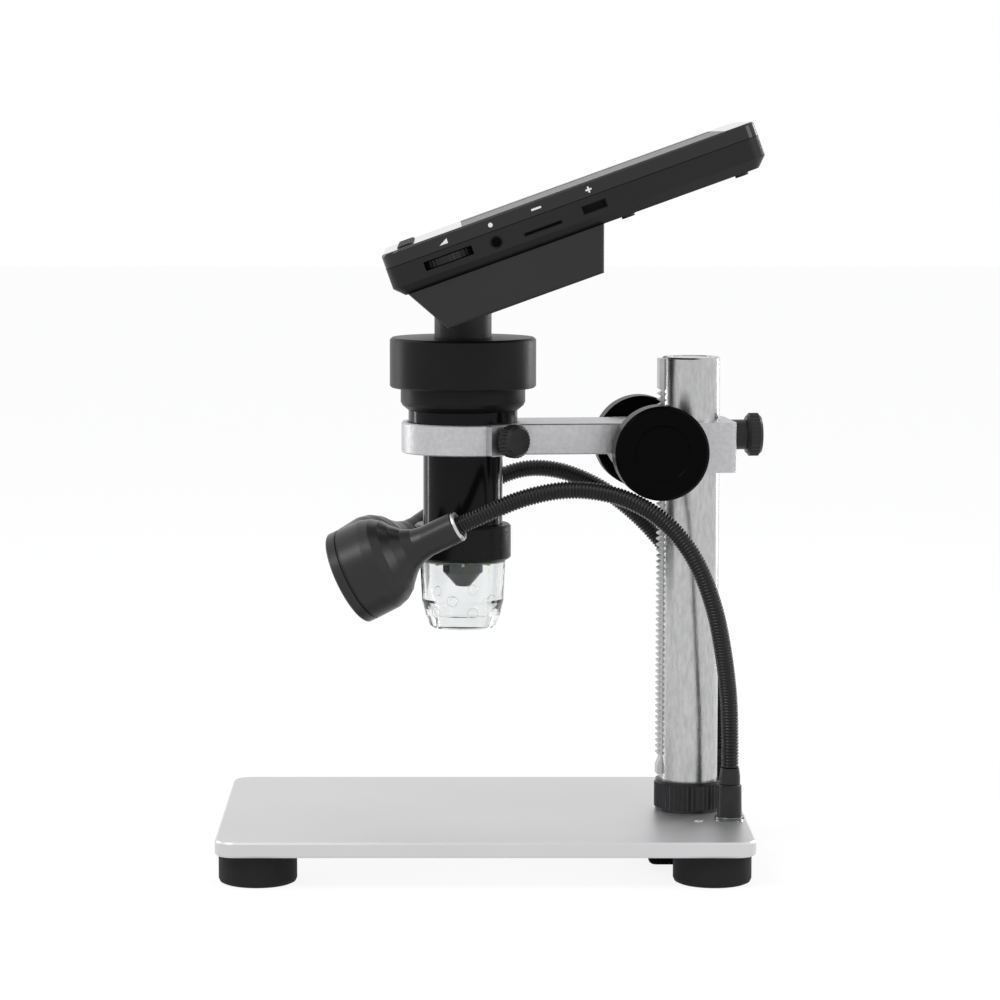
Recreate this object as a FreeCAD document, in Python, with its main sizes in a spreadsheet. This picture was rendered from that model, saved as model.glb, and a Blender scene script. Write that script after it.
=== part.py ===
# Digital microscope with a tilted display, on a rack-and-pinion stand with two gooseneck lamps.
# Millimetres. The origin is the centre of the stage plate's top face, +X runs to the column, +Z is up.
import FreeCAD, Part
import math
import os
import re
import Sketcher

Vector = FreeCAD.Vector
UP = Vector(0, 0, 1)
ACROSS = Vector(0, 1, 0)

SIZES = [
    ("plate_length", 190, "stage plate, front to back"),
    ("plate_width", 130, "stage plate, side to side"),
    ("plate_thick", 5.5, "stage plate"),
    ("plate_corner", 7, "corner radius in plan"),
    ("plate_bevel", 0.7, "bright bevel round both faces"),
    ("foot_radius", 13.9, "rubber foot"),
    ("foot_height", 11.6, "rubber foot"),
    ("foot_inset_long", 14.6, "foot centre to the plate's end"),
    ("foot_inset_side", 17.2, "foot centre to the plate's side"),
    ("foot_screw_radius", 2, "screw that holds a foot"),
    ("column_place", 75, "column axis in front of the origin"),
    ("column_radius", 10.6, "toothed column"),
    ("column_bore", 7.4, "inside of the column"),
    ("column_top", 166, "height of the column above the stage"),
    ("column_bolt_radius", 3, "bolt under the column"),
    ("arm_swing", 5, "degrees that the column is turned on the plate"),
    ("collar_radius", 12.5, "knurled collar at the column's foot"),
    ("collar_height", 11.3, "knurled collar"),
    ("rack_pitch", 2.12, "distance from tooth to tooth"),
    ("rack_line", 11.4, "rack's pitch line from the column axis"),
    ("rack_width", 6, "toothed bar"),
    ("rack_back", 8.6, "back of the toothed bar from the column axis"),
    ("rack_low", 21, "lowest tooth"),
    ("rack_high", 153, "highest tooth"),
    ("addendum", 0.54, "tooth above the pitch line"),
    ("dedendum", 0.8, "tooth below the pitch line"),
    ("pinion_teeth", 10, "teeth of the pinion"),
    ("pinion_height", 133.4, "pinion axis above the stage"),
    ("shaft_radius", 2.5, "pinion shaft"),
    ("bush_radius", 4.6, "outside of the shaft's bushes"),
    ("knob_radius", 16.9, "focus knob"),
    ("knob_thick", 11, "focus knob"),
    ("knob_face", 31.5, "outer face of a knob from the middle"),
    ("block_side", 16, "half the width of the carriage"),
    ("block_back", 14.5, "carriage behind the column axis"),
    ("arm_low", 132, "underside of the arm"),
    ("arm_thick", 11, "arm and ring"),
    ("arm_side", 15, "half the width of the arm"),
    ("arm_end", 26.3, "arm's rear end from the column axis"),
    ("arm_reach", 83, "column axis to the optical axis"),
    ("ring_radius", 22.2, "outside of the arm's ring"),
    ("ring_bore", 20, "inside of the arm's ring"),
    ("lock_shank", 5.45, "shank of the lock screw"),
    ("lock_head", 7.85, "knurled head of the lock screw"),
    ("screw_head", 5.95, "knurled head of the ring screw"),
    ("screw_angle", 50, "ring screw, degrees from the front-to-back line"),
    ("running_fit", 0.05, "radial play of a turning or sliding fit"),
    ("clearance", 0.3, "space between pieces that move past each other"),
    ("tube_radius", 14.35, "black tube"),
    ("tube_bore", 9.3, "bore that the lens cell slides in"),
    ("tube_low", 94.6, "lower end of the tube"),
    ("sleeve_radius", 19.7, "part of the tube held in the ring"),
    ("sleeve_top", 147.2, "shoulder under the focus ring"),
    ("board_radius", 12, "sensor board and its seat"),
    ("board_seat", 128, "shoulder under the sensor board"),
    ("focus_radius", 26.4, "focus ring"),
    ("focus_step", 22.5, "lower step of the focus ring"),
    ("focus_split", 155.4, "where the step meets the big ring"),
    ("focus_top", 173.4, "top of the focus ring"),
    ("post_radius", 10.3, "neck under the display"),
    ("cuff_radius", 17.4, "black cuff over the clear guard"),
    ("cuff_low", 93.4, "lower edge of the cuff"),
    ("cuff_top", 105.9, "upper edge of the cuff"),
    ("guard_low", 68.4, "lower rim of the clear guard"),
    ("guard_radius", 16, "clear guard at its seat"),
    ("guard_wall", 1.4, "clear guard"),
    ("lens_tip", 83, "lowest point of the lens cell"),
    ("nose_radius", 7.25, "lens cell's nose"),
    ("lens_radius", 1.6, "front lens"),
    ("display_length", 137.7, "display, along its slope"),
    ("display_width", 84, "display, side to side"),
    ("display_deep", 16, "display, through both shells"),
    ("display_slope", 19.85, "degrees from level"),
    ("display_corner", 6, "corner radius in plan"),
    ("display_bevel", 3.4, "bevel round the back shell"),
    ("display_front", 28.9, "display's low edge in front of the optical axis"),
    ("display_height", 204, "display's low edge above the stage"),
    ("bezel_thick", 5.2, "front shell"),
    ("shell_wall", 3, "side wall of the shells"),
    ("window_low", 30, "low edge of the screen window"),
    ("window_length", 97, "screen window"),
    ("window_width", 56, "screen window"),
    ("glass_thick", 1.2, "screen glass"),
    ("panel_thick", 2.6, "display panel"),
    ("box_drop", 16.1, "rear box below the display"),
    ("box_width", 80, "rear box"),
    ("button_radius", 3, "front button"),
    ("button_row", 9, "row of buttons from the low edge"),
    ("button_pitch", 14, "button to button"),
    ("button_rise", 0.7, "button above the front"),
    ("wheel_radius", 10, "dimmer wheel"),
    ("wheel_place", 22, "dimmer wheel from the low edge"),
    ("wheel_depth", 8.8, "dimmer wheel below the front"),
    ("wheel_thick", 2.4, "dimmer wheel"),
    ("wheel_proud", 0.8, "dimmer wheel beyond the near wall"),
    ("socket_place", 88.5, "lamp sockets in front of the origin"),
    ("socket_side", 21.9, "lamp sockets from the middle"),
    ("socket_radius", 4.25, "lamp socket"),
    ("socket_height", 13, "lamp socket"),
    ("pivot_radius", 2.5, "pivot inside the socket"),
    ("neck_radius", 3.05, "gooseneck"),
    ("lamp_radius", 17.2, "bell of the lamp"),
    ("lamp_length", 44.1, "lamp from stem end to rim"),
    ("stem_radius", 5.6, "stem of the lamp"),
    ("lamp_wall", 1.6, "bell of the lamp"),
    ("cover_length", 32.4, "wiring cover under the column"),
    ("cover_width", 66, "wiring cover"),
    ("cover_deep", 9.1, "wiring cover"),
]

doc = FreeCAD.newDocument("digital_microscope")
sheet = doc.addObject("Spreadsheet::Sheet", "sizes")
for row, (alias, value, note) in enumerate(SIZES, start=1):
    sheet.set("A%d" % row, alias)
    sheet.set("B%d" % row, str(value))
    sheet.set("C%d" % row, note)
    sheet.setAlias("B%d" % row, alias)
doc.recompute()
ALIASES = {alias for alias, value, note in SIZES}
subparts = []


def tied(text):
    """The same formula with each size read from the sheet."""
    return re.sub(r"[a-z_]{4,}", lambda word: ("sizes." if word[0] in ALIASES else "") + word[0], str(text))


def size(text):
    """The number that a formula gives."""
    return float(sheet.evalExpression(str(text)))


# Bodies made from sketches


def start_body(label):
    body = doc.addObject("PartDesign::Body", label)
    subparts.append(body)
    return body


def start_sketch(body, name, role, offset="0"):
    sketch = body.newObject("Sketcher::SketchObject", name)
    plane = [item for item in body.Origin.OriginFeatures if item.Role == role][0]
    sketch.AttachmentSupport = [(plane, "")]
    sketch.MapMode = "FlatFace"
    if offset != "0":
        sketch.setExpression("AttachmentOffset.Base.z", tied(offset))
    return sketch


def hold(sketch, item, point, across, up):
    """Holds one point of a sketch at two formulas from the sketch's origin."""
    for kind, text, axis in (("DistanceX", across, -2), ("DistanceY", up, -1)):
        if str(text) == "0":
            sketch.addConstraint(Sketcher.Constraint("PointOnObject", item, point, axis))
            continue
        index = sketch.addConstraint(Sketcher.Constraint(kind, -1, 1, item, point, size(text)))
        sketch.setExpression("Constraints[%d]" % index, tied(text))


def draw_outline(sketch, corners):
    """A closed outline of straight lines through the corners."""
    places = [Vector(size(across), size(up), 0) for across, up in corners]
    first = sketch.GeometryCount
    for index, place in enumerate(places):
        sketch.addGeometry(Part.LineSegment(place, places[(index + 1) % len(places)]), False)
    for index in range(len(places)):
        following = first + (index + 1) % len(places)
        sketch.addConstraint(Sketcher.Constraint("Coincident", first + index, 2, following, 1))
    for index, (across, up) in enumerate(corners):
        hold(sketch, first + index, 1, across, up)


def draw_rectangle(sketch, left, right, low, high):
    draw_outline(sketch, [(left, low), (right, low), (right, high), (left, high)])


def draw_circle(sketch, across, up, radius):
    place = Vector(size(across), size(up), 0)
    item = sketch.addGeometry(Part.Circle(place, UP, size(radius)), False)
    hold(sketch, item, 3, across, up)
    index = sketch.addConstraint(Sketcher.Constraint("Radius", item, size(radius)))
    sketch.setExpression("Constraints[%d]" % index, tied(radius))


def pad(body, sketch, length, both_ways=False):
    feature = body.newObject("PartDesign::Pad", sketch.Name + "_pad")
    feature.Profile = sketch
    feature.SideType = "Symmetric" if both_ways else "One side"
    feature.setExpression("Length", tied(length))
    sketch.Visibility = False
    doc.recompute()
    return feature


def pocket(body, sketch, depth, upwards=False, both_ways=False):
    """Cuts a sketch into the body, and stops if it cut nothing."""
    before = body.Shape.Volume
    feature = body.newObject("PartDesign::Pocket", sketch.Name + "_pocket")
    feature.Profile = sketch
    feature.SideType = "Symmetric" if both_ways else "One side"
    feature.Reversed = upwards
    feature.setExpression("Length", tied(depth))
    doc.recompute()
    if not body.Shape.Volume < before - 0.01:
        raise ValueError("%s cuts nothing" % feature.Name)
    return feature


def turned(label, corners):
    """A piece turned about its own upright axis; the corners are radius and height."""
    body = start_body(label)
    sketch = start_sketch(body, label + "_profile", "XZ_Plane")
    draw_outline(sketch, corners)
    feature = body.newObject("PartDesign::Revolution", label + "_turn")
    feature.Profile = sketch
    feature.ReferenceAxis = (sketch, ["V_Axis"])
    feature.Angle = 360
    doc.recompute()
    return body


def dress(body, kind, amount, picks):
    """Rounds or bevels the edges that picks chooses."""
    base = body.Tip
    names = ["Edge%d" % (index + 1) for index, edge in enumerate(base.Shape.Edges) if picks(edge)]
    feature = body.newObject("PartDesign::" + kind, base.Name + "_" + kind.lower())
    feature.Base = (base, names)
    feature.setExpression("Radius" if kind == "Fillet" else "Size", tied(amount))
    doc.recompute()
    return feature


def is_upright(edge):
    box = edge.BoundBox
    return box.ZLength > 1 and box.XLength < 0.001 and box.YLength < 0.001


def at_height(height):
    """Chooses the edges that lie level at a height."""
    level = size(height)
    return lambda edge: abs(edge.BoundBox.ZMin - level) + abs(edge.BoundBox.ZMax - level) < 0.001


# Places in the object


def place(piece, along, side, height, axis=UP, angle="0"):
    """Puts a piece at three formulas, turned by a formula in degrees."""
    spot = Vector(size(along), size(side), size(height))
    piece.Placement = FreeCAD.Placement(spot, FreeCAD.Rotation(axis, size(angle)))
    for name, text in (("x", along), ("y", side), ("z", height)):
        piece.setExpression("Placement.Base." + name, tied(text))
    if angle != "0":
        piece.setExpression("Placement.Rotation.Angle", tied(angle))
    return piece


def on_column(piece, height="0"):
    """In the column's own frame: the optical axis lies along its -X."""
    return place(piece, "column_place", "0", height, UP, "arm_swing")


def on_head(piece, height="0"):
    """On the optical axis."""
    reach = "column_place - arm_reach * cos(arm_swing)"
    return place(piece, reach, "-arm_reach * sin(arm_swing)", height)


def on_display(piece):
    """In the display's frame: its low edge is the origin, +X climbs the slope, -Z goes into it."""
    along = "column_place - arm_reach * cos(arm_swing) - display_front"
    side = "-arm_reach * sin(arm_swing)"
    return place(piece, along, side, "display_height", Vector(0, -1, 0), "display_slope")


def from_shape(label, shape, placement=None):
    """A piece whose shape is worked out from the sheet by the code that calls this."""
    piece = doc.addObject("Part::Feature", label)
    piece.Shape = shape
    if placement:
        piece.Placement = placement
    subparts.append(piece)
    return piece


def rod(radius, low, high, spot=Vector(0, 0, 0), axis=UP):
    """A plain cylinder between two distances along an axis through a spot."""
    return Part.makeCylinder(radius, high - low, spot + axis * low, axis)


def star_prism(radius, depth, count, low, high):
    """A knurled disc: the grooves are as many as the count."""
    points = []
    for index in range(2 * count):
        reach = radius - depth * (index % 2)
        angle = math.pi * index / count
        points.append(Vector(reach * math.cos(angle), reach * math.sin(angle), low))
    return Part.Face(Part.makePolygon(points + points[:1])).extrude(UP * (high - low))


# Stage plate, feet and what hangs below the plate

END = "plate_length / 2"
SIDE = "plate_width / 2"
FOOT_LONG = "(plate_length / 2 - foot_inset_long)"
FOOT_SIDE = "(plate_width / 2 - foot_inset_side)"
FOOT_TOP = "-plate_thick"
FLOOR = "(-plate_thick - foot_height)"
FOOT_PLACES = [("front_near", "-", "-"), ("front_far", "-", ""), ("rear_near", "", "-"), ("rear_far", "", "")]


def make_plate():
    body = start_body("base_plate")
    outline = start_sketch(body, "plate_outline", "XY_Plane", "-plate_thick")
    draw_rectangle(outline, "-" + END, END, "-" + SIDE, SIDE)
    pad(body, outline, "plate_thick")
    dress(body, "Fillet", "plate_corner", is_upright)
    levels = (at_height("0"), at_height("-plate_thick"))
    dress(body, "Chamfer", "plate_bevel", lambda edge: levels[0](edge) or levels[1](edge))
    through = start_sketch(body, "plate_through_holes", "XY_Plane")
    draw_circle(through, "column_place", "0", "column_bolt_radius")
    draw_circle(through, "socket_place", "socket_side", "pivot_radius")
    draw_circle(through, "socket_place", "-socket_side", "pivot_radius")
    pocket(body, through, "plate_thick")
    blind = start_sketch(body, "foot_screw_holes", "XY_Plane", "-plate_thick")
    for name, ahead, beside in FOOT_PLACES:
        draw_circle(blind, ahead + FOOT_LONG, beside + FOOT_SIDE, "foot_screw_radius")
    pocket(body, blind, "plate_thick - 1", upwards=True)


def make_feet():
    for name, ahead, beside in FOOT_PLACES:
        foot = turned("foot_" + name, [
            ("foot_screw_radius", FOOT_TOP),
            ("foot_radius - 0.4", FOOT_TOP),
            ("foot_radius", FOOT_TOP + " - 0.8"),
            ("foot_radius", FLOOR + " + 1.6"),
            ("foot_radius - 0.5", FLOOR + " + 0.5"),
            ("foot_radius - 1.6", FLOOR),
            ("foot_radius / 2", FLOOR),
            ("foot_radius / 2", FLOOR + " + foot_height / 2"),
            ("foot_screw_radius", FLOOR + " + foot_height / 2"),
        ])
        place(foot, ahead + FOOT_LONG, beside + FOOT_SIDE, "0")


def make_foot_screws():
    seat = size(FLOOR + " + foot_height / 2")
    screws = []
    for name, ahead, beside in FOOT_PLACES:
        spot = Vector(size(ahead + FOOT_LONG), size(beside + FOOT_SIDE), 0)
        head = rod(size("foot_screw_radius * 1.9"), seat - 2.2, seat, spot)
        shank = rod(size("foot_screw_radius"), seat, size("-1"), spot)
        screws.append(head.fuse(shank).removeSplitter())
    from_shape("foot_screws", Part.makeCompound(screws))


def make_wiring_cover():
    body = start_body("wiring_cover")
    top = "(-plate_thick)"
    outline = start_sketch(body, "cover_outline", "XY_Plane", top + " - cover_deep")
    draw_rectangle(outline, "-cover_length / 2", "cover_length / 2", "-cover_width / 2", "cover_width / 2")
    pad(body, outline, "cover_deep")
    dress(body, "Fillet", "3", is_upright)
    dress(body, "Fillet", "2", at_height(top + " - cover_deep"))
    hollow = start_sketch(body, "cover_hollow", "XY_Plane", top)
    draw_rectangle(hollow, "-cover_length / 2 + 2.4", "cover_length / 2 - 2.4",
                   "-cover_width / 2 + 2.4", "cover_width / 2 - 2.4")
    pocket(body, hollow, "cover_deep - 2")
    place(body, "column_place", "0", "0")
    floor = size("-plate_thick - cover_deep + 2")
    board = Part.makeBox(20, 18, 1.6, Vector(size("column_place") - 10, -28, floor))
    chip = Part.makeBox(6, 5, 1.4, Vector(size("column_place") - 3, -22, floor + 1.6))
    from_shape("lamp_driver_board", board.fuse(chip).removeSplitter())


# Column, its toothed bar and the collar


def make_column():
    column = turned("column_tube", [
        ("column_bore", "0"), ("column_radius", "0"),
        ("column_radius", "column_top - 0.6"), ("column_radius - 0.6", "column_top"),
        ("column_bore", "column_top"),
    ])
    groove = start_sketch(column, "rack_groove", "XY_Plane", "column_top")
    draw_rectangle(groove, "-column_radius - 1", "-rack_back", "-rack_width / 2", "rack_width / 2")
    pocket(column, groove, "column_top - collar_height - 2")
    on_column(column)
    cap = turned("column_cap", [
        ("0", "column_top - 5"), ("column_bore", "column_top - 5"),
        ("column_bore", "column_top - 0.2"), ("0", "column_top - 0.2"),
    ])
    on_column(cap)
    plug = turned("column_plug", [
        ("column_bolt_radius", "0"), ("column_bore", "0"),
        ("column_bore", "collar_height + 4"), ("column_bolt_radius", "collar_height + 4"),
    ])
    on_column(plug)
    bolt = turned("column_bolt", [
        ("0", "-plate_thick - 3"), ("column_bolt_radius * 1.8", "-plate_thick - 3"),
        ("column_bolt_radius * 1.8", "-plate_thick"), ("column_bolt_radius", "-plate_thick"),
        ("column_bolt_radius", "collar_height + 2"), ("0", "collar_height + 2"),
    ])
    on_column(bolt)


def make_rack():
    """The toothed bar, with one tooth level with the pinion."""
    pitch = size("rack_pitch")
    tip = -size("rack_line + addendum")
    root = -size("rack_line - dedendum")
    slant = math.tan(math.radians(25))
    half_tip = pitch / 4 - size("addendum") * slant - 0.06
    half_root = pitch / 4 + size("dedendum") * slant - 0.06
    middle = size("pinion_height")
    low_end = size("collar_height + 2")
    high_end = size("column_top - 0.6")
    first = math.ceil((size("rack_low") - middle) / pitch)
    last = math.floor((size("rack_high") - middle) / pitch)
    outline = [(-size("rack_back"), low_end), (tip, low_end)]
    outline.append((tip, middle + first * pitch - 2.2 * pitch))
    for tooth in range(first, last + 1):
        height = middle + tooth * pitch
        outline += [(root, height - pitch + half_root), (root, height - half_root)] if tooth == first else []
        outline += [(tip, height - half_tip), (tip, height + half_tip), (root, height + half_root)]
        outline.append((root, height + pitch - half_root))
    outline += [(tip, middle + (last + 1) * pitch - half_tip), (tip, high_end)]
    outline.append((-size("rack_back"), high_end))
    half = size("rack_width / 2")
    points = [Vector(across, -half, up) for across, up in outline]
    face = Part.Face(Part.makePolygon(points + points[:1]))
    on_column(from_shape("rack", face.extrude(ACROSS * 2 * half)))


def make_collar():
    """The knurled collar that steadies the column's foot."""
    low = star_prism(size("collar_radius"), 0.4, 44, 1.2, size("collar_height - 1.2"))
    base = rod(size("collar_radius - 0.5"), 0, 1.2)
    top = rod(size("collar_radius - 0.5"), size("collar_height - 1.2"), size("collar_height"))
    bore = rod(size("column_radius"), -1, size("collar_height") + 1)
    on_column(from_shape("column_collar", low.fuse([base, top]).cut(bore).removeSplitter()))


# Carriage, arm, pinion and the two hand screws

PINION_RADIUS = "(pinion_teeth * rack_pitch / (2 * pi))"
PINION_LINE = "(rack_line + pinion_teeth * rack_pitch / (2 * pi))"
ARM_TOP = "(arm_low + arm_thick)"
ARM_MIDDLE = "(arm_low + arm_thick / 2)"
BOLT_SIDE = "arm_side / 2"


def make_carriage():
    """The block that rides on the column, with the pinion's housing below the arm."""
    body = start_body("carriage_block")
    profile = start_sketch(body, "block_profile", "XZ_Plane")
    low = "pinion_height - knob_radius"
    draw_outline(profile, [
        ("-arm_end", ARM_TOP), ("-arm_end", "arm_low"), ("-arm_end - 3.6", "arm_low"),
        ("-arm_end - 1", "arm_low - 4.5"), ("-%s - 6" % PINION_LINE, low + " + 2"),
        ("-%s - 2" % PINION_LINE, low), ("-%s + 8" % PINION_LINE, low), ("1", "arm_low - 7"),
        ("block_back", "arm_low - 7"), ("block_back", ARM_TOP),
    ])
    pad(body, profile, "block_side * 2", both_ways=True)
    back = size("block_back")
    dress(body, "Fillet", "2", lambda edge: is_upright(edge) and edge.BoundBox.XMin > back - 0.01)
    bore = start_sketch(body, "column_passage", "XY_Plane", ARM_TOP)
    draw_circle(bore, "0", "0", "column_radius + running_fit")
    pocket(body, bore, "arm_thick + knob_radius * 2")
    slot = start_sketch(body, "rack_passage", "XY_Plane", ARM_TOP)
    draw_rectangle(slot, "-rack_line - addendum - clearance", "-rack_back",
                   "-rack_width / 2 - clearance", "rack_width / 2 + clearance")
    pocket(body, slot, "arm_thick + knob_radius * 2")
    cross = start_sketch(body, "pinion_passage", "XZ_Plane")
    draw_circle(cross, "-" + PINION_LINE, "pinion_height", "bush_radius")
    pocket(body, cross, "block_side * 2 + 2", both_ways=True)
    hole = start_sketch(body, "lock_hole", "YZ_Plane", "block_back + 1")
    draw_circle(hole, "0", ARM_MIDDLE, "shaft_radius + running_fit")
    pocket(body, hole, "block_back + 1")
    bolts = start_sketch(body, "arm_bolt_holes", "YZ_Plane", "-arm_end")
    for sign in ("", "-"):
        draw_circle(bolts, sign + BOLT_SIDE, ARM_MIDDLE, "1.5")
    pocket(body, bolts, "6", upwards=True)
    on_column(body)


def make_arm():
    """A flat bar with the ring that holds the tube, and a boss for the ring's screw."""
    body = start_body("arm")
    bar = start_sketch(body, "arm_plan", "XY_Plane", "arm_low")
    draw_rectangle(bar, "-arm_reach", "-arm_end", "-arm_side", "arm_side")
    pad(body, bar, "arm_thick")
    ring = start_sketch(body, "ring_plan", "XY_Plane", "arm_low")
    draw_circle(ring, "-arm_reach", "0", "ring_radius")
    pad(body, ring, "arm_thick")
    boss = start_sketch(body, "boss_plan", "XY_Plane", "arm_low")
    corner = "(ring_radius + 1.8) * "
    turn = "(screw_angle + arm_swing)"
    corners = []
    for reach, beside in (("10", "-7"), (corner + "1", "-7"), (corner + "1", "7"), ("10", "7")):
        along = "-arm_reach + (%s) * cos(%s) + (%s) * sin(%s)" % (reach, turn, beside, turn)
        side = "-(%s) * sin(%s) + (%s) * cos(%s)" % (reach, turn, beside, turn)
        corners.append((along, side))
    draw_outline(boss, corners)
    pad(body, boss, "arm_thick")
    bore = start_sketch(body, "ring_bore_plan", "XY_Plane", ARM_TOP)
    draw_circle(bore, "-arm_reach", "0", "ring_bore")
    pocket(body, bore, "arm_thick")
    levels = (at_height("arm_low"), at_height(ARM_TOP))
    end = -size("arm_end")
    dress(body, "Chamfer", "0.4", lambda edge: (levels[0](edge) or levels[1](edge))
          and edge.BoundBox.XMin < end - 0.01)
    bolts = start_sketch(body, "bar_bolt_holes", "YZ_Plane", "-arm_end")
    for sign in ("", "-"):
        draw_circle(bolts, sign + BOLT_SIDE, ARM_MIDDLE, "1.5")
    pocket(body, bolts, "8")
    on_column(body)


def screw_axis():
    """The direction of the ring's screw, away from the optical axis, in the column's frame."""
    angle = math.radians(size("screw_angle + arm_swing"))
    return Vector(math.cos(angle), -math.sin(angle), 0)


def make_arm_holes():
    """Drills the ring's boss for its screw, after the body is done."""
    arm = doc.getObject("arm")
    drilled = doc.addObject("Part::Cut", "ring_arm")
    drill = doc.addObject("Part::Cylinder", "ring_drill")
    drill.setExpression("Radius", tied("shaft_radius - 0.5 + running_fit"))
    drill.setExpression("Height", tied("ring_radius + 10"))
    spot = Vector(size("column_place"), 0, 0)
    frame = FreeCAD.Placement(spot, FreeCAD.Rotation(UP, size("arm_swing")))
    centre = frame.multVec(Vector(-size("arm_reach"), 0, size(ARM_MIDDLE)))
    direction = frame.Rotation.multVec(screw_axis())
    drill.Placement = FreeCAD.Placement(centre, FreeCAD.Rotation(UP, direction))
    drilled.Base = arm
    drilled.Tool = drill
    subparts.remove(arm)
    subparts.append(drilled)
    drilled.Label = "ring_arm"


def make_arm_bolts():
    middle = size(ARM_MIDDLE)
    bolts = []
    for sign in (1, -1):
        spot = Vector(-size("arm_end"), sign * size(BOLT_SIDE), middle)
        bolts.append(rod(1.5, -8, 6, spot, Vector(1, 0, 0)))
    on_column(from_shape("arm_bolts", Part.makeCompound(bolts)))


def pinion_outline():
    """Involute teeth of 25 degrees, with a gap facing the rack."""
    count = int(size("pinion_teeth"))
    pitch_radius = size(PINION_RADIUS)
    base_radius = pitch_radius * math.cos(math.radians(25))
    root = pitch_radius - size("dedendum")
    tip = pitch_radius + size("addendum")

    def involute(radius):
        slope = math.acos(min(1, base_radius / radius))
        return math.tan(slope) - slope

    half = math.pi / (2 * count) - 0.12 / (2 * pitch_radius)
    spread = [(radius, half + involute(pitch_radius) - involute(radius))
              for radius in (base_radius, pitch_radius, tip)]
    spread.insert(0, (root, spread[0][1]))
    points = []
    for tooth in range(count):
        centre = 2 * math.pi * (tooth + 0.5) / count
        flanks = [(radius, centre - angle) for radius, angle in spread]
        flanks += [(radius, centre + angle) for radius, angle in reversed(spread)]
        points += [Vector(radius * math.cos(turn), 0, radius * math.sin(turn)) for radius, turn in flanks]
    return points


def make_pinion():
    axle = Vector(-size(PINION_LINE), 0, size("pinion_height"))
    half = size("rack_width / 2")
    points = [axle + point - ACROSS * half for point in pinion_outline()]
    gear = Part.Face(Part.makePolygon(points + points[:1])).extrude(ACROSS * 2 * half)
    end = size("knob_face - 2")
    shafts = [rod(size("shaft_radius"), half, end, axle, ACROSS * sign) for sign in (1, -1)]
    on_column(from_shape("pinion_shaft", gear.fuse(shafts).removeSplitter()))
    bushes = []
    for sign in (1, -1):
        outer = rod(size("bush_radius"), half + 2, size("block_side"), axle, ACROSS * sign)
        inner = rod(size("shaft_radius + running_fit"), 0, size("block_side + 1"), axle, ACROSS * sign)
        bushes.append(outer.cut(inner))
    on_column(from_shape("pinion_bushes", Part.makeCompound(bushes)))


def make_knobs():
    """Turned knobs with a hub, pressed on both ends of the shaft."""
    for name, sign in (("near", 1), ("far", -1)):
        knob = turned("focus_knob_" + name, [
            ("shaft_radius", "block_side + clearance"), ("6.5", "block_side + clearance"),
            ("6.5", "knob_face - knob_thick"), ("knob_radius - 0.8", "knob_face - knob_thick"),
            ("knob_radius", "knob_face - knob_thick + 0.8"), ("knob_radius", "knob_face - 1"),
            ("knob_radius - 1", "knob_face"), ("knob_radius * 0.6", "knob_face"),
            ("knob_radius * 0.57", "knob_face - 0.5"), ("0", "knob_face - 0.5"),
            ("0", "knob_face - 2"), ("shaft_radius", "knob_face - 2"),
        ])
        swing = FreeCAD.Rotation(UP, size("arm_swing"))
        axle = swing.multVec(Vector(-size(PINION_LINE), 0, 0))
        turn = swing.multiply(FreeCAD.Rotation(UP, ACROSS * -sign))
        spot = Vector(size("column_place") + axle.x, axle.y, size("pinion_height"))
        knob.Placement = FreeCAD.Placement(spot, turn)


def make_hand_screw(label, head_radius, head_length, shank_radius, shank_length, thread_length):
    """A hand screw along +Z: thread, shank and a knurled head with bevelled ends."""
    thread = rod(size("shaft_radius") - (0 if label == "lock_screw" else 0.5), -thread_length, 0.5)
    shank = rod(shank_radius, 0, shank_length)
    top = shank_length + head_length
    knurl = star_prism(head_radius, 0.35, 28, shank_length + 1, top - 1)
    bevels = [Part.makeCone(head_radius - 1.2, head_radius - 0.35, 1, Vector(0, 0, shank_length)),
              Part.makeCone(head_radius - 0.35, head_radius - 1.2, 1, Vector(0, 0, top - 1))]
    return from_shape(label, thread.fuse([shank, knurl] + bevels).removeSplitter())


def make_hand_screws():
    column = FreeCAD.Placement(Vector(size("column_place"), 0, 0), FreeCAD.Rotation(UP, size("arm_swing")))
    gap = size("clearance")
    lock = make_hand_screw("lock_screw", size("lock_head"), 5.4, size("lock_shank"), 5.5,
                           size("block_back - column_radius"))
    spot = Vector(size("block_back") + gap, 0, size(ARM_MIDDLE))
    local = FreeCAD.Placement(spot, FreeCAD.Rotation(UP, Vector(1, 0, 0)))
    lock.Placement = column.multiply(local)
    seat = size("ring_radius + 1.8") + gap
    ring = make_hand_screw("ring_screw", size("screw_head"), 6, size("shaft_radius + 1.5"), 0.8,
                           seat - size("sleeve_radius") - gap)
    middle = Vector(-size("arm_reach"), 0, size(ARM_MIDDLE))
    local = FreeCAD.Placement(middle + screw_axis() * seat, FreeCAD.Rotation(UP, screw_axis()))
    ring.Placement = column.multiply(local)


# Tube, lens, guard and focus ring


def make_tube():
    on_head(turned("body_tube", [
        ("tube_bore", "tube_low"), ("tube_radius", "tube_low"), ("tube_radius", "arm_low + 0.6"),
        ("sleeve_radius - 0.5", "arm_low + 0.6"), ("sleeve_radius", "arm_low + 1.1"),
        ("sleeve_radius", "sleeve_top"), ("board_radius", "sleeve_top"),
        ("board_radius", "board_seat"), ("tube_bore", "board_seat"),
    ]))
    board = turned("sensor_board", [
        ("0", "board_seat"), ("board_radius - 0.1", "board_seat"),
        ("board_radius - 0.1", "board_seat + 1.6"), ("0", "board_seat + 1.6"),
    ])
    on_head(board)


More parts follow.
